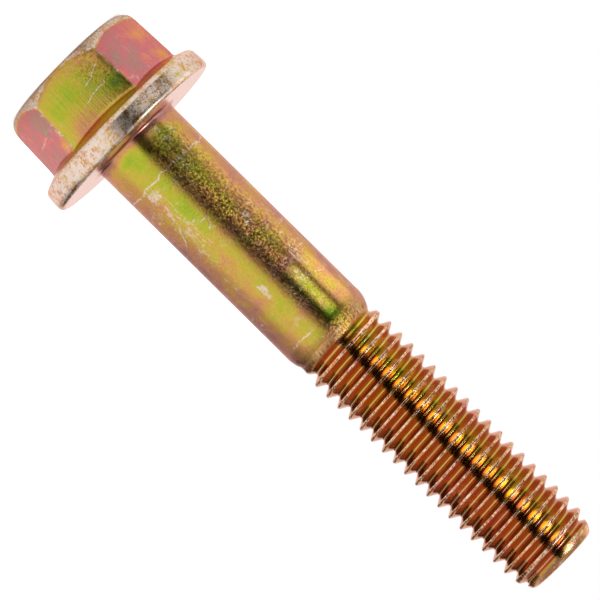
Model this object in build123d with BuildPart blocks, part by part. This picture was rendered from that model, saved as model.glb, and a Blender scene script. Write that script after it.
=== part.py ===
"""Flange bolt, M8 x 1.25, forged from one piece of steel with a rolled thread.

The bolt stands on the top face of its head. The origin is the centre of that face, and +Z runs
along the bolt's axis to the threaded tip. Sizes are in millimetres and angles in degrees.
"""

import os
from math import atan, ceil, cos, degrees, radians, tan

from build123d import *

# Head: a forged hexagon, widest at the flange, with its crown broken in two steps to the top face
across_flats = 12.0
head_height = 8.0
head_draft = 2.0
head_corner_radius = 0.25
crown_depth = 1.3
crown_bend_depth = 0.42
crown_bend_inset = 0.34
top_face_inset = 0.4

# Flange: a washer face under the hexagon, with a shallow cone above its broken rim
flange_diameter = 16.8
flange_rim_thickness = 1.85
flange_cone_angle = 20.5
rim_upper_chamfer = 0.4
rim_lower_chamfer = 0.3

# Shank: plain at full size, then a rounded shoulder down to the blank of the rolled thread
plain_length = 21.0
shank_undersize = 0.03
under_head_chamfer = 0.3
shoulder_length = 1.7
shoulder_round = 1.1

# Thread: metric, right-handed and single start, out to the tip
nominal_diameter = 8.0
pitch = 1.25
flank_angle = 60.0
length_under_head = 48.2
crest_undersize = 0.08
blank_oversize = 0.12
crest_rise_length = 1.7

# Runout: the groove sinks in from the shoulder before it reaches its full depth
runout_length = 0.95
runout_lift = 0.65
full_groove_offset = 0.53
full_groove_angle = 219.0

# Tip: the last turns are drawn in, gently at first and then steeply to the end face
tip_taper_length = 1.75
tip_taper_inset = 0.42
tip_chamfer_length = 0.55
tip_chamfer_inset = 0.6

# Stations along the axis
bearing_z = head_height
rim_top_z = bearing_z - flange_rim_thickness
shoulder_z = bearing_z + plain_length
thread_z = shoulder_z + shoulder_length
full_crest_z = thread_z + crest_rise_length
tip_z = bearing_z + length_under_head
full_groove_z = thread_z + full_groove_offset
groove_start_z = full_groove_z - runout_length

# Radii, with the thread's form worked out from the height of its sharp triangle
half_flank = radians(flank_angle / 2)
sharp_height = pitch / (2 * tan(half_flank))
shank_radius = (nominal_diameter - shank_undersize) / 2
crest_radius = (nominal_diameter - crest_undersize) / 2
blank_radius = (nominal_diameter + blank_oversize) / 2 - 3 / 8 * sharp_height
root_radius = nominal_diameter / 2 - 7 / 8 * sharp_height
taper_end_radius = crest_radius - tip_taper_inset
rim_radius = flange_diameter / 2

with BuildPart() as flange_bolt:
    # Hexagon, drafted from the rim's level up to the top face
    with BuildSketch(Plane.XY.offset(rim_top_z)) as hexagon:
        RegularPolygon(radius=across_flats / 2, side_count=6, major_radius=False)
        fillet(hexagon.vertices(), radius=head_corner_radius)
    extrude(amount=-rim_top_z, taper=head_draft)

    # Crown, turned on the hexagon's corners in two slopes
    crown_flats = across_flats / 2 - (rim_top_z - crown_depth) * tan(radians(head_draft))
    crown_radius = crown_flats / cos(radians(30))
    with BuildSketch(Plane.XZ):
        with BuildLine():
            Polyline(
                (0, 0),
                (across_flats / 2 - top_face_inset, 0),
                (crown_radius - crown_bend_inset, crown_bend_depth),
                (crown_radius, crown_depth),
                (across_flats, crown_depth),
                (across_flats, bearing_z),
                (0, bearing_z),
                close=True,
            )
        make_face()
    revolve(axis=Axis.Z, mode=Mode.INTERSECT)

    # Flange, turned: its cone rises to an apex on the axis, inside the hexagon
    with BuildSketch(Plane.XZ) as flange_half:
        with BuildLine():
            Polyline(
                (0, rim_top_z - rim_radius * tan(radians(flange_cone_angle))),
                (rim_radius, rim_top_z),
                (rim_radius, bearing_z),
                (0, bearing_z),
                close=True,
            )
        make_face()
        upper_corner, lower_corner = flange_half.vertices().group_by(Axis.X)[-1].sort_by(Axis.Y)
        chamfer(upper_corner, rim_upper_chamfer)
        chamfer(lower_corner, rim_lower_chamfer)
    revolve(axis=Axis.Z)

    # Shank and thread blank, turned: neck, plain length, shoulder, rising crests and tip
    shoulder_slope = (shank_radius - blank_radius) / (shoulder_length - shoulder_round / 2)
    shoulder_bend_radius = shank_radius - shoulder_round / 2 * shoulder_slope
    with BuildSketch(Plane.XZ):
        with BuildLine():
            shoulder = Bezier(
                (shank_radius, shoulder_z),
                (shank_radius, shoulder_z + shoulder_round / 2),
                (shoulder_bend_radius, shoulder_z + shoulder_round),
            )
            Polyline(
                shoulder @ 1,
                (blank_radius, thread_z),
                (crest_radius, full_crest_z),
                (crest_radius, tip_z - tip_taper_length),
                (taper_end_radius, tip_z - tip_chamfer_length),
                (taper_end_radius - tip_chamfer_inset, tip_z),
                (0, tip_z),
                (0, bearing_z),
                (shank_radius + under_head_chamfer, bearing_z),
                (shank_radius, bearing_z + under_head_chamfer),
                shoulder @ 0,
            )
        make_face()
    revolve(axis=Axis.Z)

    # Thread groove: a V in a plane through the axis, drawn where the runout starts
    start_angle = full_groove_angle - 360 * runout_length / pitch
    start_plane = Plane(
        origin=(0, 0, groove_start_z),
        x_dir=Vector(1, 0, 0).rotate(Axis.Z, start_angle),
        z_dir=Vector(0, -1, 0).rotate(Axis.Z, start_angle),
    )
    opening_radius = nominal_diameter / 2
    opening_half_width = (opening_radius - root_radius) * tan(half_flank)
    with BuildSketch(start_plane) as groove:
        with BuildLine():
            Polyline(
                (root_radius + runout_lift, 0),
                (opening_radius + runout_lift, opening_half_width),
                (opening_radius + runout_lift, -opening_half_width),
                close=True,
            )
        make_face()

    # Path of the groove: the runout sinks along a cone, then one helix for each turn past the tip
    runout_cone = atan(runout_lift / runout_length)
    runout = Edge.make_helix(
        pitch / cos(runout_cone),
        runout_length,
        crest_radius + runout_lift,
        center=(0, 0, groove_start_z),
        angle=-degrees(runout_cone),
    )
    full_turns = [
        Edge.make_helix(pitch, pitch, crest_radius, center=(0, 0, full_groove_z + turn * pitch))
        for turn in range(ceil((tip_z - full_groove_z) / pitch) + 1)
    ]
    groove_path = [runout.rotate(Axis.Z, start_angle)]
    groove_path += [turn.rotate(Axis.Z, full_groove_angle) for turn in full_turns]
    sweep(groove.sketch, path=Wire(groove_path), is_frenet=True, clean=False, mode=Mode.SUBTRACT)

flange_bolt.part.label = "flange_bolt"
os.makedirs("parts", exist_ok=True)
export_step(flange_bolt.part, "parts/flange_bolt.step")
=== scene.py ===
"""Flange bolt, M8 x 1.25 x 48, plated and yellow chromated, standing on its head.

The bolt is one closed surface. It is worked out in rows that run from the middle of the head's
top face, out over the hexagon and the flange, up the shank and the thread, to the middle of the
tip. Lengths are in millimetres until the mesh is made, and angles are in radians unless a name
says degrees.
"""

import bpy
import numpy as np
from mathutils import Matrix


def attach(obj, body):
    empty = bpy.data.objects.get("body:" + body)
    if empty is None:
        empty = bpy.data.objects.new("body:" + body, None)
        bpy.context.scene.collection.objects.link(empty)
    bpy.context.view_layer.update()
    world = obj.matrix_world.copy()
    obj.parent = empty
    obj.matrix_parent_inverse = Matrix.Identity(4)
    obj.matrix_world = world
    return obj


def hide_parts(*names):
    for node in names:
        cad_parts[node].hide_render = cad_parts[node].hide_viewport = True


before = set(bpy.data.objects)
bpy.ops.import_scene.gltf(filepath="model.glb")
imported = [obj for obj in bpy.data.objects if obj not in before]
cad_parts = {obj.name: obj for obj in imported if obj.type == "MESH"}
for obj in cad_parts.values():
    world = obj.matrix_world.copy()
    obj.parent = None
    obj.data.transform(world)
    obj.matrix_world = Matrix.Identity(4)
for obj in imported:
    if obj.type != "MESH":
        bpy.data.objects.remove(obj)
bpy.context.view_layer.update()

MM = 0.001


# ---------------------------------------------------------------------------------------------
# Hexagon of the head. It is forged, so its six sides lean in by two degrees towards the top
# face and bulge a little, their corners are round, and the crown is pressed to a round form.
# ---------------------------------------------------------------------------------------------

ACROSS_FLATS = 12.04
HEAD_DRAFT = np.radians(2.0)
HEAD_CORNER = 0.27
SIDE_BULGE = 0.09
CROWN_ROUND = 1.313
CROWN_CENTRE = 5.417
CROWN_TOP = 5.60
CROWN_DEPTH = 1.30
CROWN_EDGE = 0.10
CROWN_REACH = 1.45
TOP_EDGE = 0.12
RIM_TOP = 6.15
RIM_RADIUS = 8.4
CONE_SLOPE = np.tan(np.radians(20.5))
FOOT_ROUND = 0.28

COLUMNS = 180
CORNER_GATHER = 0.75
even_turn = np.arange(COLUMNS) / COLUMNS * 2 * np.pi


def gathered_turn(share):
    """Angles round the axis, drawn together at the six corners: each is turned towards its
    corner by share times a sixth of the sine of six times the angle."""
    return even_turn - share / 6 * np.sin(6 * even_turn)


def hexagon_radius(angle, half_width, corner):
    """Distance from the axis to a hexagon with a corner on +X: the half width over the cosine
    of the angle from the side's middle, and near a corner the far side of a small circle. The
    side's bulge is a square falling off from its middle."""
    from_corner = np.abs((angle + np.pi / 6) % (np.pi / 3) - np.pi / 6)
    centre = (half_width - corner) / np.cos(np.pi / 6)
    turn_in = np.arctan2(corner / 2, centre + corner * np.cos(np.pi / 6))
    from_middle = np.pi / 6 - from_corner
    middle_share = np.clip(1 - (from_middle / (np.pi / 6 - turn_in)) ** 2, 0, 1)
    bulge = SIDE_BULGE * middle_share * (1 + 0.8 * (1 - middle_share))
    side = half_width / np.cos(from_middle) + bulge
    across = np.minimum(centre * np.sin(from_corner), corner)
    round_corner = centre * np.cos(from_corner) + np.sqrt(corner**2 - across**2)
    return np.where(from_corner < turn_in, round_corner, side)


def soft_minimum(a, b, blend):
    """The smaller of two values, with the crossing rounded off over the blend's width."""
    near = np.clip(blend - np.abs(a - b), 0, None) / blend
    return np.minimum(a, b) - near**2 * blend / 4


def crown_radius(height):
    """The pressed crown: a quarter circle from the top face out to past the corners."""
    drop = np.clip(CROWN_DEPTH - height, 0, CROWN_ROUND)
    arc = CROWN_CENTRE + np.sqrt(CROWN_ROUND**2 - drop**2)
    return arc + 8 * np.clip(height - CROWN_DEPTH, 0, None)


def cone_height(radius):
    """Height of the flange's upper cone at a distance from the axis."""
    return RIM_TOP - (RIM_RADIUS - radius) * CONE_SLOPE


def head_radius(angle, height):
    """The hexagon with its draft, cut by the crown, with the edge between them worn round."""
    half_width = ACROSS_FLATS / 2 - (RIM_TOP - height) * np.tan(HEAD_DRAFT)
    sides = hexagon_radius(angle, half_width, HEAD_CORNER)
    return soft_minimum(sides, crown_radius(height), CROWN_EDGE)


def parabola(along, start, corner, end):
    """A parabola from start to end that leaves and arrives along the lines to the corner: the
    three are weighed by the squares of what is left and what is gone of the way, and by twice
    their product."""
    return (1 - along) ** 2 * start + 2 * along * (1 - along) * corner + along**2 * end


def bend(start, corner, end, rows):
    """Rows along a parabola, which is how a worn or pressed edge runs. Each point is a radius
    and a height, either one for all columns or one for each. The start itself is left out."""
    along = np.linspace(0, 1, rows + 1)[1:, None]
    start, corner, end = (
        np.broadcast_to(np.reshape(point, (2, -1)), (2, COLUMNS)) for point in (start, corner, end)
    )
    return tuple(parabola(along, start[part], corner[part], end[part]) for part in (0, 1))


head_turn = gathered_turn(CORNER_GATHER)

# Top face: flat rings out from the middle
top_steps = np.linspace(0.06, 1, 10)[:, None]
top_radius = np.repeat(top_steps * (CROWN_TOP - TOP_EDGE), COLUMNS, 1)
top_height = np.zeros_like(top_radius)

# Where the sides meet the flange's cone, found by going between the two a few times
foot_radius = head_radius(head_turn, 5.4)
for _ in range(3):
    foot_radius = head_radius(head_turn, cone_height(foot_radius))
foot_height = cone_height(foot_radius)

# Crown and sides, down to the small round at their foot
crown_steps = (1 - np.cos(np.linspace(0.1, 1, 22) * np.pi / 2)) * CROWN_REACH
side_steps = np.linspace(0, 1, 16)[1:, None]
side_end = foot_height - FOOT_ROUND
side_height = np.concatenate(
    [
        np.repeat(crown_steps[:, None], COLUMNS, 1),
        crown_steps[-1] + side_steps * (side_end - crown_steps[-1]),
    ]
)
side_radius = head_radius(head_turn, side_height)
foot_out = foot_radius + FOOT_ROUND
foot_rows = bend(
    np.stack([side_radius[-1], side_end]),
    np.stack([foot_radius, foot_height]),
    np.stack([foot_out, cone_height(foot_out)]),
    6,
)


# ---------------------------------------------------------------------------------------------
# Flange. It is forged with the head: a shallow cone above, a bulged rim with worn round edges,
# and a flat bearing face below, with a small fillet up to the shank.
# ---------------------------------------------------------------------------------------------

BEARING = 8.0
BEARING_EDGE = 7.95
SHANK_RADIUS = 3.985
CONE_END = 7.80
RIM_UPPER_EDGE = (8.295, 6.52)
RIM_LOWER_EDGE = (8.35, 7.36)
NECK_ROUND = 0.36
NECK_FOOT = SHANK_RADIUS + NECK_ROUND

cone_steps = np.linspace(0, 1, 9)[1:, None]
cone_radius = foot_out + cone_steps * (CONE_END - foot_out)
cone_rows = (cone_radius, cone_height(cone_radius))

rim_upper = bend((CONE_END, cone_height(CONE_END)), (8.26, 6.10), RIM_UPPER_EDGE, 11)
rim_middle = bend(RIM_UPPER_EDGE, (8.32, 6.95), RIM_LOWER_EDGE, 5)
rim_lower = bend(RIM_LOWER_EDGE, (8.38, 7.98), (BEARING_EDGE, BEARING), 10)

bearing_steps = np.linspace(0, 1, 9)[1:, None]
bearing_radius = np.repeat(BEARING_EDGE + bearing_steps * (NECK_FOOT - BEARING_EDGE), COLUMNS, 1)
bearing_rows = (bearing_radius, np.full_like(bearing_radius, BEARING))
neck_rows = bend(
    (NECK_FOOT, BEARING), (SHANK_RADIUS, BEARING), (SHANK_RADIUS, BEARING + NECK_ROUND), 7
)


# ---------------------------------------------------------------------------------------------
# Shank. It is plain at full size, and then drawn in by a round shoulder to the thinner blank
# that the thread is rolled on. The blank's nose is drawn in at the tip.
# ---------------------------------------------------------------------------------------------

SHOULDER = 29.0
THREAD_FOOT = 30.1
TIP_FOOT = 56.0
TIP = 56.2
END_FACE = 2.68

plain_steps = np.linspace(0, 1, 41)[1:, None]
plain_height = BEARING + NECK_ROUND + plain_steps * (SHOULDER - BEARING - NECK_ROUND)
plain_height = np.repeat(plain_height, COLUMNS, 1)
plain_rows = (np.full_like(plain_height, SHANK_RADIUS), plain_height)

# The blank's outline as a chain of bends, each point a height and a radius: the shoulder and the
# hollow under it, the rise to the crests, the long straight, and the drawn-in nose
BLANK_BENDS = (
    ((SHOULDER, SHANK_RADIUS), (29.75, SHANK_RADIUS), (30.35, 3.745)),
    ((30.35, 3.745), (30.75, 3.63), (31.25, 3.76)),
    ((31.25, 3.76), (31.9, 3.955), (32.8, 3.965)),
    ((32.8, 3.965), (43.0, 3.965), (53.6, 3.965)),
    ((53.6, 3.965), (54.6, 3.94), (55.3, 3.63)),
    ((55.3, 3.63), (55.75, 3.44), (55.95, 3.30)),
    ((55.95, 3.30), (TIP, 3.10), (TIP, 2.70)),
)
blank_steps = np.linspace(0, 1, 24)[:, None]
blank_height, blank_line = np.concatenate(
    [parabola(blank_steps, *np.array(points)) for points in BLANK_BENDS]
).T


def blank_radius(height):
    """Radius of the turned blank at a height, read off its outline."""
    return np.interp(height, blank_height, blank_line)


shoulder_height = np.linspace(SHOULDER, THREAD_FOOT, 13)[1:, None]
shoulder_height = np.repeat(shoulder_height, COLUMNS, 1)
shoulder_rows = (blank_radius(shoulder_height), shoulder_height)

# The nose above the thread's last rows, and then the flat end face, in to the middle
nose_steps = np.array([1, 0.8, 0.6, 0.42, 0.26, 0.12, 0.03])[:, None]
nose_height = np.repeat(TIP - (TIP - TIP_FOOT) * nose_steps, COLUMNS, 1)
nose_rows = (blank_radius(nose_height), nose_height)
end_steps = np.linspace(1, 0.08, 9)[:, None]
end_radius = np.repeat(end_steps * END_FACE, COLUMNS, 1)
end_rows = (end_radius, np.full_like(end_radius, TIP))


# ---------------------------------------------------------------------------------------------
# Thread. It is rolled: a right-handed groove of 60 degrees with a round root, which sinks in
# over three quarters of a turn and runs out through the tip. The rolled metal meets in a fine
# seam along the crest, which is open in places.
# ---------------------------------------------------------------------------------------------

PITCH = 1.25
SHARP_ROOT = 3.053
ROOT_ROUND = 0.17
ROOT_ARC = ROOT_ROUND * np.cos(np.pi / 6)
FLANK = 3**0.5
FULL_TURN = 219 / 360
ROOT_AT_X = 31.23 - PITCH * FULL_TURN
RUNOUT_TURNS = 0.76
RUNOUT_LIFT = 0.65
FIRST_FLANK = 0.62
FIRST_FLANK_TO = 0.5
FULL_FLANK_FROM = 1.6
NARROWEST_HALF_GROOVE = 0.17
NARROWEST_HALF_CREST = 0.06
CREST_BLEND = 0.12
GROOVE_BLEND = 0.02
SEAM_DEPTH = 0.05
SEAM_FROM = 3.6
SEAM_CHANCE = 5
FIRST_TURN, LAST_TURN = -3, 22

# Rows of half a pitch: shares of the flank, and distances from the edge of the crest
flank_rows = np.array([0, 0.16, 0.31])
crest_rows = np.array([-0.075, -0.038, 0, 0.03])


def groove_lift(turns):
    """How far the groove stands above full depth: straight down to nothing over the runout."""
    return np.clip(FULL_TURN - turns, 0, None) / RUNOUT_TURNS * RUNOUT_LIFT


def groove_radius(away, lift, slope=FLANK):
    """A groove's surface at a distance along the axis from its root: an arc of the root's round,
    and past it the straight flank."""
    inside = np.clip(away, 0, ROOT_ARC)
    arc = SHARP_ROOT + 2 * ROOT_ROUND - np.sqrt(ROOT_ROUND**2 - inside**2)
    flank = SHARP_ROOT + ROOT_ARC * (FLANK - slope) + away * slope
    return lift + np.where(away < ROOT_ARC, arc, flank)


def first_slope(turns):
    """Slope of the flank that faces the tip's way out of the runout: shallow at first, and at
    its full steepness a turn later."""
    shallow = (FULL_FLANK_FROM - turns) / (FULL_FLANK_FROM - FIRST_FLANK_TO)
    return FLANK - (FLANK - FIRST_FLANK) * np.clip(shallow, 0, 1)


def half_pitch(crest, lift):
    """Distances from the root of the rows of half a pitch: up the flank to where it reaches the
    crest's radius, and on to the crest."""
    edge = (crest - SHARP_ROOT - lift) / FLANK
    edge = np.clip(edge, NARROWEST_HALF_GROOVE, PITCH / 2 - NARROWEST_HALF_CREST)
    return np.concatenate([flank_rows[:, None] * edge, edge + crest_rows[:, None]], 1)


def thread_rows(first_turn, last_turn):
    """Rows that wind with the thread. In each turn they lie at the root, along the flank up to
    the edge of the crest, across the crest, and down the next flank. A row's height is that of
    its root plus its distance from it, and its radius the least of the blank and the grooves."""
    turn = np.append(even_turn, 2 * np.pi) / (2 * np.pi)
    turns = np.arange(first_turn, last_turn)[:, None, None] + turn
    root = ROOT_AT_X + PITCH * turns
    lift_low = groove_lift(turns)
    lift_high = groove_lift(turns + 1)
    crest = blank_radius(root + PITCH / 2)
    low = half_pitch(crest, lift_low)
    high = PITCH - half_pitch(crest, lift_high)[:, ::-1]
    middle = np.full_like(root, PITCH / 2)
    away = np.concatenate([low, middle, high[:, :-1]], 1)
    height = root + away
    shape = away.shape
    radius = soft_minimum(
        groove_radius(away, np.broadcast_to(lift_low, shape)),
        groove_radius(PITCH - away, np.broadcast_to(lift_high, shape), first_slope(turns + 1)),
        GROOVE_BLEND,
    )
    radius = soft_minimum(radius, blank_radius(height), CREST_BLEND)

    # The seam runs in the crest's middle row, and chance opens and closes it
    open_share = np.random.default_rng(SEAM_CHANCE).uniform(-0.5, 1, turns.shape)
    open_share[:, :, -1] = np.roll(open_share[:, :, 0], -1, 0)
    seam = np.zeros(shape)
    seam[:, low.shape[1]] = 1
    seam = seam * np.clip(open_share, 0, 1) * (crest > SEAM_FROM)
    radius = radius - SEAM_DEPTH * seam
    rows = [part.reshape(-1, COLUMNS + 1) for part in (radius, height, seam)]
    return *rows, shape[1]


wound_radius, wound_height, wound_seam, per_turn = thread_rows(FIRST_TURN, LAST_TURN)


# ---------------------------------------------------------------------------------------------
# The bolt's skin. All rows are joined into one closed mesh, which stands for the solid. The
# head was forged a little off the shank's axis, so its points are moved over.
# ---------------------------------------------------------------------------------------------

CREASE = np.radians(38)
NO_GAP = 1e-6
GATHERED_WITHIN = 7.1
EVEN_BEYOND = 8.3
OFF_AXIS_HEIGHTS = (5.0, 6.2, 8.0, 8.2)
OFF_AXIS_SHIFTS = (0.13, 0.04, 0.04, 0)
OFF_AXIS_WAY = np.array([-0.994, 0.108, 0])

below = [
    (top_radius, top_height),
    (side_radius, side_height),
    foot_rows,
    cone_rows,
    rim_upper,
    rim_middle,
    rim_lower,
    bearing_rows,
    neck_rows,
    plain_rows,
    shoulder_rows,
]
above = [nose_rows, end_rows]
below_radius, below_height = (np.concatenate(parts) for parts in zip(*below))
above_radius, above_height = (np.concatenate(parts) for parts in zip(*above))

# The columns are gathered at the corners on the head, and even from the flange's rim on
row_radius = below_radius.mean(1)
row_height = below_height.mean(1)
gather_share = (EVEN_BEYOND - row_radius) / (EVEN_BEYOND - GATHERED_WITHIN)
gather = CORNER_GATHER * np.clip(gather_share, 0, 1)
gather = np.where(row_height < 5.0, CORNER_GATHER, gather)
gather = np.where(row_height > 6.0, 0.0, gather)
below_turn = gathered_turn(gather[:, None])

below_count = len(below_radius)
above_count = len(above_radius)
wound_count = len(wound_radius)

# Each row of the thread that has wound past its foot or the tip is closed on to the ring there
ring_foot = (below_count - 1) * COLUMNS
ring_tip = below_count * COLUMNS
column_index = np.arange(COLUMNS)
past_foot = wound_height[:, :-1] > THREAD_FOOT + NO_GAP
wound_free = past_foot & (wound_height[:, :-1] < TIP_FOOT - NO_GAP)
wound_index = np.where(past_foot, ring_tip + column_index, ring_foot + column_index)
first_wound = (below_count + above_count) * COLUMNS
wound_index[wound_free] = first_wound + np.arange(wound_free.sum())
next_turn = np.full((wound_count, 1), ring_tip)
next_turn[:-per_turn, 0] = wound_index[per_turn:, 0]
wound_index = np.concatenate([wound_index, next_turn], 1)

# The last two points are the middles of the top face and of the end face
radius = np.concatenate(
    [below_radius.ravel(), above_radius.ravel(), wound_radius[:, :-1][wound_free], [0, 0]]
)
height = np.concatenate(
    [below_height.ravel(), above_height.ravel(), wound_height[:, :-1][wound_free], [0, TIP]]
)
wound_turn = np.broadcast_to(even_turn, (wound_count, COLUMNS))
angle = np.concatenate(
    [below_turn.ravel(), np.tile(even_turn, above_count), wound_turn[wound_free], [0, 0]]
)


def grid_quads(index):
    """Four-sided faces between the neighbouring rows and columns of a grid of points."""
    corners = [index[:-1, :-1], index[:-1, 1:], index[1:, 1:], index[1:, :-1]]
    return np.stack(corners, -1).reshape(-1, 4)


def ring_quads(first_row, rows):
    """Four-sided faces between neighbouring rings, closed round the axis."""
    index = (first_row + np.arange(rows))[:, None] * COLUMNS + column_index
    return grid_quads(np.concatenate([index, index[:, :1]], 1))


quads = np.concatenate(
    [ring_quads(0, below_count), ring_quads(below_count, above_count), grid_quads(wound_index)]
)

# A four-sided face with two corners in one place becomes a triangle, or nothing
same = quads == np.roll(quads, -1, 1)
doubled = same.sum(1)
whole = quads[doubled == 0]
triangles = quads[doubled == 1][~same[doubled == 1]].reshape(-1, 3)
top_middle = np.full(COLUMNS, len(radius) - 2)
end_middle = np.full(COLUMNS, len(radius) - 1)
next_column = np.roll(column_index, -1)
last_ring = (below_count + above_count - 1) * COLUMNS
top_fan = np.stack([top_middle, next_column, column_index], -1)
end_fan = np.stack([end_middle, last_ring + column_index, last_ring + next_column], -1)

points = np.stack([radius * np.cos(angle), radius * np.sin(angle), height], 1)
off_axis = np.interp(height, OFF_AXIS_HEIGHTS, OFF_AXIS_SHIFTS)
points += off_axis[:, None] * OFF_AXIS_WAY

bolt_mesh = bpy.data.meshes.new("flange_bolt_skin")
bolt_mesh.from_pydata(
    (points * MM).tolist(),
    [],
    whole.tolist() + triangles.tolist() + top_fan.tolist() + end_fan.tolist(),
)
bolt_mesh.shade_smooth()
bolt_mesh.set_sharp_from_angle(angle=CREASE)
bolt = bpy.data.objects.new("flange_bolt_skin", bolt_mesh)
bpy.context.scene.collection.objects.link(bolt)
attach(bolt, "root")
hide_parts("flange_bolt")


# ---------------------------------------------------------------------------------------------
# Plating. It is zinc, dipped for a yellow chromate film whose thickness decides its colour, from
# pale gold through rose and green to gold and rose again. Where the film has rubbed off, on
# edges and in scratches, the zinc shows as silver.
# ---------------------------------------------------------------------------------------------

CROWN_FILM = 0.80
THIN_CROWN_FILM = 0.12
RIM_FILM = 0.84
CREST_FILM = 0.24
TOP_FACE_FILM = 0.80
END_FACE_FILM = 0.84
NECK_FILM = 0.94

degrees = np.degrees(angle) % 360


def soft_step(value, low, high):
    """Nought below low, one above high, and an S-curve between."""
    share = np.clip((value - low) / (high - low), 0, 1)
    return share * share * (3 - 2 * share)


def band(value, low, low_full, high_full, high):
    """One within a band of values, with an S-curve down to nought at either edge."""
    return soft_step(value, low, low_full) * (1 - soft_step(value, high_full, high))


def spot(turn, place_height, place_radius, width):
    """One at a point of the surface, falling off round it as a bell of the given width. The
    point is given by its angle in degrees, its height, and its distance from the axis."""
    out = (np.cos(np.radians(turn)), np.sin(np.radians(turn)))
    centre = np.array([place_radius * out[0], place_radius * out[1], place_height])
    return np.exp(-((points - centre) ** 2).sum(1) / width**2)


# Regions of the head and the flange
from_corner = np.abs((degrees + 30) % 60 - 30)
side_number = (degrees // 60).astype(int)
on_head = (height < 6.0) & (radius < foot_radius.max() + 0.05)
on_top_face = on_head & (height < 0.02)
crown_edge = np.array([0.4, 0.4, 0.4, 0.6, 0.2, 0.45])[side_number]
crown_edge = crown_edge + (1.15 - crown_edge) * (1 - from_corner / 30) ** 2
crown_share = 1 - soft_step(height - crown_edge, -0.2, 0.2)
corner_share = soft_step(-np.radians(from_corner) * radius, -0.40, -0.06)
on_flange = ~on_head & (height < 8.001)
on_bearing = (height > 7.99) & (height < 8.2) & (radius < 8.05) & (radius > 4.1)
rim_share = soft_step(radius, CONE_END, 8.1)

# Regions of the shank: the side where the dark cards show is pitted, its pits painted dark as painted
# shade for the dark band there, and one stretch of it is rubbed smooth
dark_card_side = band(degrees, 203, 225, 262, 272)
rubbed_blank = band(height, 24.1, 24.4, 29.2, 29.8) * band(degrees, 196, 204, 256, 260)

# Regions of the thread: where a point lies between root and crest, and how far it has wound
on_thread = (height > 30.3) & (height < TIP - 0.01)
turns_along = (height - ROOT_AT_X) / PITCH - angle / (2 * np.pi)
from_root = np.abs((turns_along + 0.5) % 1 - 0.5) * 2
wound = np.round(turns_along) + angle / (2 * np.pi)
crest_share = soft_step(radius - blank_radius(height), -0.06, -0.02) * soft_step(height, 31.2, 31.6)
tip_share = soft_step(height, 55.2, 55.6) * crest_share
on_flank = on_thread * soft_step(height, 30.6, 31.4) * (1 - crest_share) * (1 - tip_share)
pale_side = band(degrees, 236, 243, 262, 269) * on_thread
# Painted highlight colour: the side where the lamp's highlights fall on the flanks, where the film is
# made thinner and yellower and the painted shade lighter
painted_highlight_side = band(degrees, 200, 230, 240, 247) * on_thread
# Painted highlight: the side where silver is painted on the flanks towards the crest, where the
# lamp's highlights fall
highlight_silver_side = band(degrees, 222, 229, 243, 249)

# Film: one thickness for each side of the head, and changing gently round the shank, where it is also
# a painted sheen: pinker towards the sides that the camera sees edge-on
hexagon_film = np.array([0.66, 0.38, 0.83, 0.375, 0.82, 0.41])[side_number]
shank_turns, shank_films_and_sheen = np.transpose(
    [
        (10, 0.92),
        (40, 0.82),
        (70, 0.64),
        (100, 0.70),
        (130, 0.84),
        (155, 0.90),
        (174, 0.92),
        (201, 0.87),
        (214, 0.83),
        (231, 0.80),
        (240, 0.77),
        (250, 0.82),
        (259, 0.84),
        (268, 0.77),
        (278, 0.70),
        (288, 0.73),
        (301, 0.80),
        (317, 0.86),
        (332, 0.93),
        (344, 0.96),
    ]
)
shank_film_and_sheen = np.interp(degrees, shank_turns, shank_films_and_sheen, period=360)
shank_film_and_sheen += 0.06 * (soft_step(height, 8, 24) - 0.6)
shank_film_and_sheen += (NECK_FILM - shank_film_and_sheen) * (1 - soft_step(height, 8.4, 9.0))
shank_film_and_sheen -= (0.03 + 0.11 * soft_step(degrees, 234, 242)) * rubbed_blank
film = np.where(on_head, hexagon_film, shank_film_and_sheen)
# Painted sheen on the flange: thinner, greener film on the side that faces the camera, thicker and
# pinker towards its sides
film = np.where(on_flange, 0.70 + 0.14 * soft_step(np.abs(degrees - 264), 30, 60), film)
film = np.where(on_flange, film + (RIM_FILM - film) * rim_share, film)
thread_film = 0.85 + 0.03 * soft_step(height, 32, 56)
film = film + (thread_film - film) * soft_step(height, 29.6, 31.0)
film = np.where(on_thread, film + (CREST_FILM - film) * crest_share, film)
# Painted highlight colour: yellower flanks where the lamp's highlights fall
film -= 0.10 * painted_highlight_side * on_flank
film -= (0.03 + 0.10 * pale_side) * on_flank * soft_step(from_root, 0.40, 0.60)

# Spots of thicker or thinner film: angle in degrees, height, radius, width, and change
for turn, place_height, place_radius, width, change in (
    (275, 2.0, 6.1, 1.4, -0.17),
    (292, 2.6, 6.3, 1.4, -0.17),
    (252, 3.4, 6.2, 1.7, -0.10),
    (285, 5.0, 6.1, 1.2, 0.08),
    (298, 4.6, 6.7, 0.9, -0.10),
    (188, 2.4, 6.7, 1.0, -0.13),
    (190, 4.9, 6.7, 0.8, -0.14),
    (207, 4.3, 6.1, 0.7, -0.13),
    (228, 2.6, 6.3, 1.6, 0.06),
    (222, 4.6, 6.2, 0.9, 0.05),
    (244, 4.2, 6.6, 0.7, -0.25),
    (303, 3.0, 6.6, 1.5, 0.07),
    (306, 5.0, 6.5, 0.8, -0.14),
    (250, 29.8, 3.9, 0.9, -0.14),
):
    film += change * spot(turn, place_height, place_radius, width)
crown_film = np.where(film < 0.55, THIN_CROWN_FILM, CROWN_FILM)
film = np.where(on_head, film + (crown_film - film) * 0.8 * crown_share, film)
top_film = TOP_FACE_FILM + (film - TOP_FACE_FILM) * soft_step(radius, 4.7, 5.5)
end_film = END_FACE_FILM + (film - END_FACE_FILM) * soft_step(radius, 2.2, 2.9)
film = np.where(on_top_face, top_film, film)
film = np.where(height > 56.1, end_film, film)
film -= 0.06 * on_flank * (1 - soft_step(from_root, 0.06, 0.16))
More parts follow.
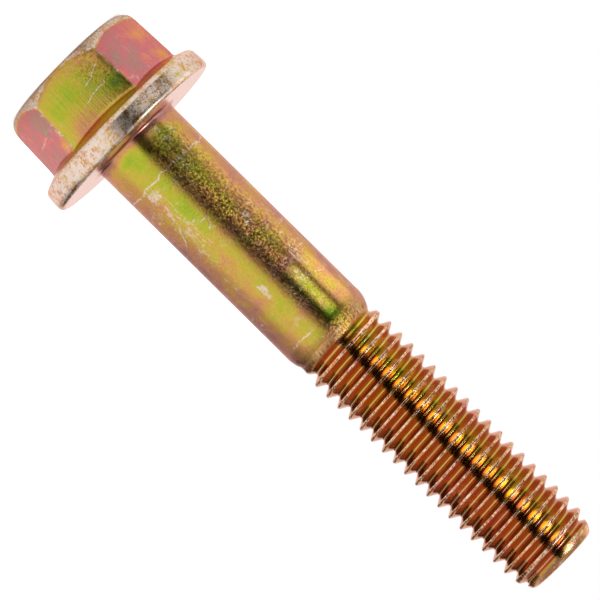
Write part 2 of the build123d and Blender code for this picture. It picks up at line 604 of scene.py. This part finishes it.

# Wear, on the edges that meet other things, and on the bearing face; and silver painted on the
# thread's flanks where the lamp's highlights fall, a painted highlight
wear_and_highlight = np.where(on_head, np.maximum(0.62 * crown_share, 0.36 * corner_share), 0)
wear_and_highlight = np.where(on_top_face, 0.35, wear_and_highlight)
wear_and_highlight = np.where(on_flange, 0.56 * rim_share, wear_and_highlight)
clamped = soft_step(radius, 4.25, 4.45)
wear_and_highlight = np.where(on_bearing, 1.3 * clamped, wear_and_highlight)
crest_wear = 0.47 * crest_share - 0.10 * tip_share
flank_wear_and_highlight = 0.60 * highlight_silver_side * on_flank * soft_step(from_root, 0.20, 0.45)
wear_and_highlight = np.where(on_thread, np.maximum(crest_wear, flank_wear_and_highlight), wear_and_highlight)

# Tooth: how strongly the fine relief shows
tooth = 0.12 + (0.26 + 0.12 * dark_card_side) * soft_step(height, 9.0, 11.0)
tooth *= 1 - 0.55 * rubbed_blank
tooth += 0.5 * soft_step(height, 29.4, 29.9)
tooth = np.where(on_head, 0.30 + 0.4 * crown_share, tooth)
tooth = np.where(on_flange, 0.25 - 0.03 * rim_share, tooth)
tooth = np.where(on_bearing, 0.08, tooth)
thread_tooth = 0.10 + 0.15 * crest_share + 0.6 * (1 - soft_step(height, 30.9, 31.3))
tooth = np.where(on_thread, thread_tooth, tooth)

# Painted shade on the flanks, which lie in each other's shade: their colour is drawn towards a dark
# red, less on the pale side and where the painted highlights fall
flank_shade_share = on_flank * band(from_root, 0.12, 0.30, 0.66, 0.90)
flank_shade_share *= (1 - pale_side * soft_step(from_root, 0.35, 0.50)) * (1 - 0.4 * painted_highlight_side)

# Pits: on the shank's side where the dark cards show, most towards the black card, painted dark there
# as painted shade; on one side of the head, and on the crown
pitting_and_shade = (0.12 + 0.78 * dark_card_side) * band(height, 8.6, 10.0, 30.0, 30.6)
pitting_and_shade += 0.35 * band(degrees, 232, 240, 258, 266) * (pitting_and_shade > 0.5)
pitting_and_shade *= 1 - 0.6 * rubbed_blank
pitted_side = (side_number == 4) * (1 - soft_step(degrees, 243, 263))
pitted_side = np.maximum(pitted_side, 1.1 * spot(249, 1.9, 6.2, 1.5))
pitting_and_shade = np.where(on_head, np.maximum(0.75 * pitted_side, 0.45 * crown_share), pitting_and_shade)

# The open seam of the crests is darkened, and under the ridge between two sides of the head a dark
# line is painted, a painted dark reflection
ring_points = below_radius.size + above_radius.size
seam_and_ridge_dark = np.concatenate([np.zeros(ring_points), wound_seam[:, :-1][wound_free], [0, 0]])
painted_dark_under_ridge = (np.abs(degrees - 241.8) < 1.3) & (height > 0.9) & (height < 5.4)
seam_and_ridge_dark = np.maximum(seam_and_ridge_dark, 0.42 * painted_dark_under_ridge)

for name, values in (
    ("film", film),
    ("wear_and_highlight", wear_and_highlight),
    ("from_root", np.where(on_thread, from_root, 0.5)),
    ("wound", wound),
    ("flank", on_flank),
    ("painted_flank_shade", flank_shade_share),
    ("crest", crest_share * on_thread),
    ("seam_and_ridge_dark", seam_and_ridge_dark),
    ("brushing", on_head * (1 - crown_share) * np.where(side_number == 4, 1.0, 0.4)),
    ("tooth", tooth),
    ("pits_and_shade", pitting_and_shade),
    ("bright", np.where(on_bearing, 0.85 * clamped, 0)),
    ("smooth", rubbed_blank),
):
    layer = bolt_mesh.attributes.new(name, "FLOAT", "POINT")
    layer.data.foreach_set("value", values.astype(np.float32))

plating = bpy.data.materials.new("yellow_chromated_zinc")
plating.use_nodes = True
tree = plating.node_tree
shader = tree.nodes["Principled BSDF"]
bolt_mesh.materials.append(plating)


def put(target, value):
    """Sets a socket to a value, or links it to another node's output."""
    if isinstance(value, bpy.types.NodeSocket):
        tree.links.new(value, target)
    else:
        target.default_value = value


def measure(name):
    """One of the surface's own values, as laid down above."""
    found = tree.nodes.new("ShaderNodeAttribute")
    found.attribute_name = name
    return found.outputs["Fac"]


def sums(how, *values):
    """A step of arithmetic on numbers."""
    step = tree.nodes.new("ShaderNodeMath")
    step.operation = how
    for target, value in zip(step.inputs, values):
        put(target, value)
    return step.outputs[0]


def ramp(value, low, high):
    """Nought up to low and one from high, straight between."""
    step = tree.nodes.new("ShaderNodeMapRange")
    for name, number in (("Value", value), ("From Min", low), ("From Max", high)):
        put(step.inputs[name], number)
    return step.outputs[0]


def mottle(scale, detail, roughness, stretch=(1, 1, 1), shift=(0, 0, 0), vector=None, bent=0.0):
    """Solid noise in the bolt's own space, with scale in cells to the millimetre."""
    moved = tree.nodes.new("ShaderNodeMapping")
    put(moved.inputs["Vector"], vector or place_on_bolt)
    moved.inputs["Location"].default_value = shift
    moved.inputs["Scale"].default_value = stretch
    noise = tree.nodes.new("ShaderNodeTexNoise")
    put(noise.inputs["Vector"], moved.outputs[0])
    noise.inputs["Scale"].default_value = scale / MM
    noise.inputs["Detail"].default_value = detail
    noise.inputs["Roughness"].default_value = roughness
    noise.inputs["Distortion"].default_value = bent
    return noise.outputs["Fac"]


def blend_colours(share, first, second):
    """Share of the second colour over the first."""
    step = tree.nodes.new("ShaderNodeMix")
    step.data_type = "RGBA"
    put(step.inputs[0], share)
    put(step.inputs[6], first)
    put(step.inputs[7], second)
    return step.outputs[2]


def vector_step(how, first, second, third=None):
    """A step of arithmetic on places."""
    step = tree.nodes.new("ShaderNodeVectorMath")
    step.operation = how
    put(step.inputs[0], first)
    put(step.inputs[1], second)
    if third is not None:
        put(step.inputs[2], third)
    return step.outputs[0]


place_on_bolt = tree.nodes.new("ShaderNodeTexCoord").outputs["Object"]

# Film's unevenness: broad patches, smaller clouds and fine grain, less on the flanks
broad = sums("SUBTRACT", mottle(0.34, 1.5, 0.45, shift=(0.7, 0, 0)), 0.5)
cloud = sums("SUBTRACT", mottle(1.0, 3.0, 0.55, shift=(3, 1, 2)), 0.5)
grain = sums("SUBTRACT", mottle(5.5, 2.0, 0.6), 0.5)
unevenness = sums("SUBTRACT", 0.36, sums("MULTIPLY", measure("brushing"), 0.16))
unevenness = sums("SUBTRACT", unevenness, sums("MULTIPLY", measure("flank"), 0.26))
thickness = measure("film")
for field, strength in ((broad, 1.0), (cloud, 0.7), (grain, 0.6)):
    change = sums("MULTIPLY", field, sums("MULTIPLY", unevenness, strength))
    thickness = sums("ADD", thickness, change)

# Streaks in the film: across the brushed sides of the head, and along the rolled flanks
lines = sums("SUBTRACT", mottle(6.0, 2.0, 0.6, stretch=(1, 1, 0.04), shift=(9, 0, 0)), 0.5)
lines = sums("MULTIPLY", lines, measure("brushing"))
thickness = sums("ADD", thickness, sums("MULTIPLY", lines, 0.22))
streak_place = tree.nodes.new("ShaderNodeCombineXYZ")
put(streak_place.inputs[0], sums("MULTIPLY", measure("from_root"), 0.012))
put(streak_place.inputs[1], sums("MULTIPLY", measure("wound"), 0.0008))
streaks = sums("SUBTRACT", mottle(1.0, 3.0, 0.65, vector=streak_place.outputs[0]), 0.5)
streaks = sums("MULTIPLY", streaks, measure("flank"))
thickness = sums("ADD", thickness, sums("MULTIPLY", streaks, 1.10))

# Colour of the film by its thickness
film_colours = tree.nodes.new("ShaderNodeValToRGB")
put(film_colours.inputs[0], thickness)
stops = (
    (0.00, (0.66, 0.52, 0.34)),
    (0.12, (0.66, 0.44, 0.10)),
    (0.25, (0.70, 0.30, 0.09)),
    (0.37, (0.61, 0.165, 0.18)),
    (0.47, (0.40, 0.22, 0.18)),
    (0.57, (0.25, 0.42, 0.04)),
    (0.66, (0.42, 0.46, 0.035)),
    (0.75, (0.58, 0.44, 0.06)),
    (0.84, (0.64, 0.32, 0.10)),
    (0.93, (0.56, 0.24, 0.17)),
    (1.00, (0.40, 0.19, 0.16)),
)
elements = film_colours.color_ramp.elements
elements[0].color = (*stops[0][1], 1)
elements[1].color = (*stops[-1][1], 1)
for place, colour in stops[1:-1]:
    elements.new(place).color = (*colour, 1)
film_colour = film_colours.outputs["Color"]
# Painted shade on the thread's flanks, drawn towards a dark red
painted_flank_shade = sums("MULTIPLY", measure("painted_flank_shade"), 0.68)
film_colour = blend_colours(painted_flank_shade, film_colour, (0.46, 0.09, 0.025, 1))

# Wear: the zinc shows where the film is thin, in flecks that gather on the edges, and as the painted
# highlight on the thread's flanks
patches = mottle(1.5, 4.0, 0.65, shift=(7, 0, 1))
flecks = mottle(5.0, 3.0, 0.75, shift=(2, 2, 6))
worn = sums("ADD", measure("wear_and_highlight"), sums("MULTIPLY", sums("SUBTRACT", patches, 0.5), 1.3))
worn = sums("ADD", worn, sums("MULTIPLY", sums("SUBTRACT", flecks, 0.5), 1.2))
worn = sums("MULTIPLY", ramp(worn, 0.38, 0.64), ramp(measure("wear_and_highlight"), 0.02, 0.12))

# Scratches: thin bent lines, in drifts, and few on the brushed sides
lines_one = mottle(0.55, 2.0, 0.5, stretch=(1, 1, 0.35), shift=(2, 9, 4), bent=0.6)
lines_two = mottle(0.8, 2.0, 0.5, stretch=(0.4, 0.4, 1.3), shift=(5, 3, 8), bent=0.8)
near_one = sums("ABSOLUTE", sums("SUBTRACT", lines_one, 0.5))
near_two = sums("ABSOLUTE", sums("SUBTRACT", lines_two, 0.5))
nearest = sums("MINIMUM", near_one, near_two)
drifts = ramp(mottle(0.25, 3.0, 0.6, shift=(1, 6, 2)), 0.50, 0.62)
broken = ramp(mottle(3.2, 2.0, 0.6, shift=(4, 4, 4)), 0.44, 0.54)
scratched = sums("MULTIPLY", sums("MULTIPLY", ramp(nearest, 0.022, 0.010), drifts), broken)
unbrushed = sums("SUBTRACT", 1.0, sums("MULTIPLY", measure("brushing"), 0.8))
scratched = sums("MULTIPLY", scratched, unbrushed)
rubbed = sums("MAXIMUM", worn, sums("MULTIPLY", scratched, 0.55))

# Places bent a little by noise, so that no mark is a clean oval
BENDING = 0.9 * MM
bending = tree.nodes.new("ShaderNodeTexNoise")
put(bending.inputs["Vector"], place_on_bolt)
bending.inputs["Scale"].default_value = 1.1 / MM
bending.inputs["Detail"].default_value = 2.0
bent_place = vector_step("MULTIPLY_ADD", bending.outputs["Color"], [BENDING] * 3, place_on_bolt)
bent_place = vector_step("SUBTRACT", bent_place, [BENDING / 2] * 3)


def mark(turn, place, lean, size):
    """A rubbed place: one inside an oval and fading to nought at its edge. It is given by its
    compass angle, its centre, its lean from upright, and its half sizes outward, across and
    along."""
    oval = tree.nodes.new("ShaderNodeMapping")
    oval.vector_type = "TEXTURE"
    put(oval.inputs["Vector"], bent_place)
    oval.inputs["Location"].default_value = [MM * part for part in place]
    oval.inputs["Rotation"].default_value = (-np.radians(lean), 0, np.radians(turn))
    oval.inputs["Scale"].default_value = [MM * part for part in size]
    reach = tree.nodes.new("ShaderNodeVectorMath")
    reach.operation = "LENGTH"
    put(reach.inputs[0], oval.outputs[0])
    return ramp(reach.outputs["Value"], 1.0, 0.5)


def shank_place(turn, height):
    """A point on the plain shank."""
    out = (np.cos(np.radians(turn)), np.sin(np.radians(turn)))
    return (SHANK_RADIUS * out[0], SHANK_RADIUS * out[1], height)


# Seven marks on the shank, one of them a ring, and three long scratches on the head's sides
marks = 0.0
for turn, place, lean, size in (
    (298, shank_place(298, 12.6), 0, (1.5, 0.9, 0.8)),
    (309, shank_place(309, 16.4), 33, (1.5, 0.12, 1.8)),
    (299, shank_place(299, 29.0), 90, (1.5, 0.14, 2.2)),
    (0, (0, 0, 11.8), 0, (99, 99, 0.13)),
    (238, shank_place(238, 19.0), 20, (1.5, 0.40, 1.0)),
    (285, shank_place(285, 24.2), -10, (1.5, 0.35, 1.1)),
    (274, shank_place(274, 16.6), 80, (1.5, 0.10, 0.7)),
    (270, (-1.7, -6.0, 2.4), 71, (1.5, 0.09, 1.9)),
    (270, (-1.1, -6.0, 3.6), 80, (1.5, 0.09, 2.1)),
    (330, (5.16, -3.06, 3.3), 84, (1.5, 0.10, 2.1)),
):
    marks = sums("MAXIMUM", marks, mark(turn, place, lean, size))
marked = sums("ADD", sums("MULTIPLY", marks, 0.24), sums("MULTIPLY", flecks, 0.9))
marked = sums("MULTIPLY", ramp(marked, 0.60, 0.70), ramp(marks, 0.02, 0.2))
rubbed = sums("MAXIMUM", rubbed, sums("MULTIPLY", marked, 0.85))

# Zinc where it is rubbed and where it is the flanks' painted highlight, brighter on the bearing face
# and warmer on the crests
silver = blend_colours(measure("bright"), (0.80, 0.66, 0.56, 1), (0.97, 0.82, 0.75, 1))
silver = blend_colours(measure("crest"), silver, (0.97, 0.66, 0.49, 1))
plated_colour = blend_colours(rubbed, film_colour, silver)

# Pits of the drawn blank, dark under the film and painted dark as shade where the dark cards show,
# the darkened seam, and the painted dark reflection under the ridge
pits_and_shade = ramp(mottle(4.5, 3.0, 0.8, shift=(6, 1, 3)), 0.46, 0.56)
pits_and_shade = sums("MULTIPLY", sums("MULTIPLY", pits_and_shade, measure("pits_and_shade")), 0.75)
plated_colour = blend_colours(pits_and_shade, plated_colour, (0.10, 0.055, 0.012, 1))
seam_and_ridge_darkening = ramp(sums("MULTIPLY", measure("seam_and_ridge_dark"), sums("ADD", flecks, 0.5)), 0.25, 0.55)
seam_and_ridge_darkening = sums("MULTIPLY", seam_and_ridge_darkening, 0.55)
plated_colour = blend_colours(seam_and_ridge_darkening, plated_colour, (0.03, 0.015, 0.008, 1))
put(shader.inputs["Base Color"], plated_colour)
shader.inputs["Metallic"].default_value = 1.0
shader.inputs["Specular Tint"].default_value = (1.0, 0.78, 0.74, 1)

roughness = sums("ADD", 0.14, sums("MULTIPLY", patches, 0.12))
roughness = sums("SUBTRACT", roughness, sums("MULTIPLY", measure("flank"), 0.06))
roughness = sums("ADD", roughness, sums("MULTIPLY", rubbed, 0.08))
roughness = sums("SUBTRACT", roughness, sums("MULTIPLY", measure("smooth"), 0.09))
put(shader.inputs["Roughness"], roughness)

# Fine relief: the blank's grain, a slow waviness, scratches, and the brushing of the sides
relief = mottle(11.0, 3.0, 0.7, shift=(0, 2, 5))
relief = sums("ADD", relief, sums("MULTIPLY", mottle(1.4, 2.0, 0.5), 0.25))
relief = sums("SUBTRACT", relief, sums("MULTIPLY", scratched, 0.3))
brushed = mottle(7.0, 2.0, 0.6, stretch=(1, 1, 0.03))
brushed = sums("MULTIPLY", brushed, sums("MULTIPLY", measure("brushing"), 1.2))
relief = sums("ADD", relief, brushed)
relief = sums("MULTIPLY", relief, measure("tooth"))
bump = tree.nodes.new("ShaderNodeBump")
put(bump.inputs["Height"], relief)
bump.inputs["Strength"].default_value = 1.0
bump.inputs["Distance"].default_value = 0.042 * MM
put(shader.inputs["Normal"], bump.outputs[0])


# ---------------------------------------------------------------------------------------------
# Floor and room. The floor is a plain pale sheet, matt, with a glow of its own that makes it
# white, and the room is an even white light from all sides.
# ---------------------------------------------------------------------------------------------

FLOOR_HALF = 1.5
GLOW_SEEN = 0.53
GLOW_MIRRORED = 0.18

floor_corners = [(x * FLOOR_HALF, y * FLOOR_HALF, 0) for x, y in ((-1, -1), (1, -1), (1, 1), (-1, 1))]
floor_mesh = bpy.data.meshes.new("floor")
floor_mesh.from_pydata(floor_corners, [], [(0, 1, 2, 3)])
floor = bpy.data.objects.new("floor", floor_mesh)
bpy.context.scene.collection.objects.link(floor)
floor_paint = bpy.data.materials.new("pale_floor")
floor_paint.use_nodes = True
floor_mesh.materials.append(floor_paint)
floor_tree = floor_paint.node_tree
floor_shader = floor_tree.nodes["Principled BSDF"]
floor_shader.inputs["Base Color"].default_value = (0.9, 0.9, 0.9, 1)
floor_shader.inputs["Roughness"].default_value = 1.0
floor_shader.inputs["Specular IOR Level"].default_value = 0.0
floor_shader.inputs["Emission Color"].default_value = (1, 1, 1, 1)

# The glow is for what looks at the floor, straight or in a mirror, and lights nothing else
ray = floor_tree.nodes.new("ShaderNodeLightPath")
mirrored = floor_tree.nodes.new("ShaderNodeMath")
mirrored.operation = "MAXIMUM"
floor_tree.links.new(ray.outputs["Is Glossy Ray"], mirrored.inputs[0])
floor_tree.links.new(ray.outputs["Is Transmission Ray"], mirrored.inputs[1])
mirrored_glow = floor_tree.nodes.new("ShaderNodeMath")
mirrored_glow.operation = "MULTIPLY"
floor_tree.links.new(mirrored.outputs[0], mirrored_glow.inputs[0])
mirrored_glow.inputs[1].default_value = GLOW_MIRRORED
glow = floor_tree.nodes.new("ShaderNodeMath")
glow.operation = "MULTIPLY_ADD"
floor_tree.links.new(ray.outputs["Is Camera Ray"], glow.inputs[0])
glow.inputs[1].default_value = GLOW_SEEN
floor_tree.links.new(mirrored_glow.outputs[0], glow.inputs[2])
floor_tree.links.new(glow.outputs[0], floor_shader.inputs["Emission Strength"])

world = bpy.data.worlds.new("studio")
world.use_nodes = True
bpy.context.scene.world = world
background = world.node_tree.nodes["Background"]
background.inputs["Color"].default_value = (1, 1, 1, 1)
background.inputs["Strength"].default_value = 1.0


# ---------------------------------------------------------------------------------------------
# Studio cards and lamps. They are bent sheets that stand or lie round the bolt, and only the
# metal sees them: grey and black ones for its dark side, pale ones, two lamps to the left, and
# narrow strips close by that show in the stretch of shank that is rubbed smooth.
# ---------------------------------------------------------------------------------------------

CARD_AWAY = 0.15
CARD_COLUMNS = 25
ON_FLOOR = 0.0004
STRIP_AWAY = 0.020
NEAR_STRIP_AWAY = 0.012
HIGH_LIGHT_HEIGHT, HIGH_LIGHT_HALF, HIGH_LIGHT_STRENGTH = 0.185, 0.047, 7.5
LOW_LIGHT_AWAY, LOW_LIGHT_HALF, LOW_LIGHT_STRENGTH = 0.057, 0.007, 16.0
LOW_LIGHT_HEIGHT = 0.0006


def card(name, start, end, brightness, profile):
    """A card bent round the bolt between two compass angles: its outline, as distances from the
    axis and heights, is carried round the axis."""
    turn = np.radians(np.linspace(start, end, CARD_COLUMNS))[:, None]
    out, rise = np.array(profile).T
    corners = np.stack([out * np.cos(turn), out * np.sin(turn), rise + 0 * turn], -1).reshape(-1, 3)
    index = np.arange(CARD_COLUMNS * len(out)).reshape(CARD_COLUMNS, -1)
    faces = np.stack([index[:-1, :-1], index[1:, :-1], index[1:, 1:], index[:-1, 1:]], -1)
    mesh = bpy.data.meshes.new(name)
    mesh.from_pydata(corners.tolist(), [], faces.reshape(-1, 4).tolist())
    sheet = bpy.data.objects.new(name, mesh)
    bpy.context.scene.collection.objects.link(sheet)
    sheet.visible_camera = False
    sheet.visible_shadow = False
    sheet.visible_diffuse = False
    paint = bpy.data.materials.new(name)
    paint.use_nodes = True
    paint.node_tree.nodes.clear()
    glow = paint.node_tree.nodes.new("ShaderNodeEmission")
    glow.inputs["Color"].default_value = (brightness, brightness, brightness, 1)
    result = paint.node_tree.nodes.new("ShaderNodeOutputMaterial")
    paint.node_tree.links.new(glow.outputs[0], result.inputs[0])
    mesh.materials.append(paint)


def on_floor_and_up(near, top):
    """The outline of a card that lies on the floor from near out, and then stands up to top."""
    return ((near, ON_FLOOR), (CARD_AWAY, ON_FLOOR), (CARD_AWAY, top))


def upright(away, foot, top):
    """The outline of a card that stands straight up at one distance."""
    return ((away, foot), (away, top))


card("grey_card", 192, 242, 0.19, on_floor_and_up(0.060, 0.085))
card("near_grey_card", 192, 242, 0.13, ((0.020, ON_FLOOR), (0.046, ON_FLOOR)))
card("black_card", 242, 272, 0.01, on_floor_and_up(0.020, 0.22))
card("pale_card", 110, 192, 0.93, on_floor_and_up(0.04, 0.09))
card("side_card", -15, 60, 0.62, upright(CARD_AWAY, 0, 0.04))
card("upper_side_card", -15, 60, 0.10, upright(CARD_AWAY, 0.04, 0.12))
card("ceiling", 0, 360, 0.42, ((0.30, 0.25), (0.18, 0.42), (0.06, 0.50)))
card("upper_strip", 160, 203, 1.5, upright(STRIP_AWAY, 0.0238, 0.0292))
card("lower_strip", 219, 240, 1.35, upright(NEAR_STRIP_AWAY, 0.0240, 0.0292))
card("long_strip", 165, 198, 1.25, upright(STRIP_AWAY, 0.0095, 0.0238))

# A low fence keeps the low lamp from the lower shank and the flange's rim
card("flag", 196, 256, 0.12, upright(0.040, ON_FLOOR, 0.005))

# Each lamp is shaped like a lens: it is made of slices, which are widest in the middle
for start, end, spread in (
    (200, 208, 0.15),
    (208, 216, 0.5),
    (216, 233, 1.0),
    (233, 238, 0.45),
    (238, 241, 0.15),
):
    half = HIGH_LIGHT_HALF * spread
    high = upright(CARD_AWAY, HIGH_LIGHT_HEIGHT - half, HIGH_LIGHT_HEIGHT + half)
    card("high_light_" + str(start), start, end, HIGH_LIGHT_STRENGTH, high)
    half = LOW_LIGHT_HALF * spread
    low = [(LOW_LIGHT_AWAY + reach, LOW_LIGHT_HEIGHT) for reach in (-half, half)]
    card("low_light_" + str(start), start, end, LOW_LIGHT_STRENGTH, low)


# ---------------------------------------------------------------------------------------------
# Camera. It looks at the bolt's middle from a little above, and is rolled so that the bolt lies
# from the upper left down to the lower right.
# ---------------------------------------------------------------------------------------------

CAMERA_TURN = np.radians(-6.2)
CAMERA_RISE = np.radians(1.5)
CAMERA_AWAY = 0.37
SENSOR_WIDTH = 36
VIEW_WIDTH = 48.17
LOOK_HEIGHT = 26.54
LOOK_LEFT = 0.09
CAMERA_ROLL = np.radians(-44.6385)

to_camera = np.array(
    [
        np.sin(CAMERA_TURN) * np.cos(CAMERA_RISE),
        -np.cos(CAMERA_TURN) * np.cos(CAMERA_RISE),
        np.sin(CAMERA_RISE),
    ]
)
level = np.array([np.cos(CAMERA_TURN), np.sin(CAMERA_TURN), 0])
straight_up = np.cross(to_camera, level)
target = np.array([0, 0, LOOK_HEIGHT * MM]) - level * LOOK_LEFT * MM
place = np.eye(4)
place[:3, 0] = np.cos(CAMERA_ROLL) * straight_up + np.sin(CAMERA_ROLL) * level
place[:3, 1] = np.sin(CAMERA_ROLL) * straight_up - np.cos(CAMERA_ROLL) * level
place[:3, 2] = to_camera
place[:3, 3] = target + to_camera * CAMERA_AWAY

camera_data = bpy.data.cameras.new("camera")
camera_data.sensor_width = SENSOR_WIDTH
camera_data.lens = SENSOR_WIDTH * CAMERA_AWAY / (VIEW_WIDTH * MM)
camera_data.clip_start = 0.01
camera_data.clip_end = 10
camera = bpy.data.objects.new("camera", camera_data)
bpy.context.scene.collection.objects.link(camera)
camera.matrix_world = place.T.tolist()
bpy.context.scene.camera = camera
bpy.context.scene.view_settings.view_transform = "Standard"
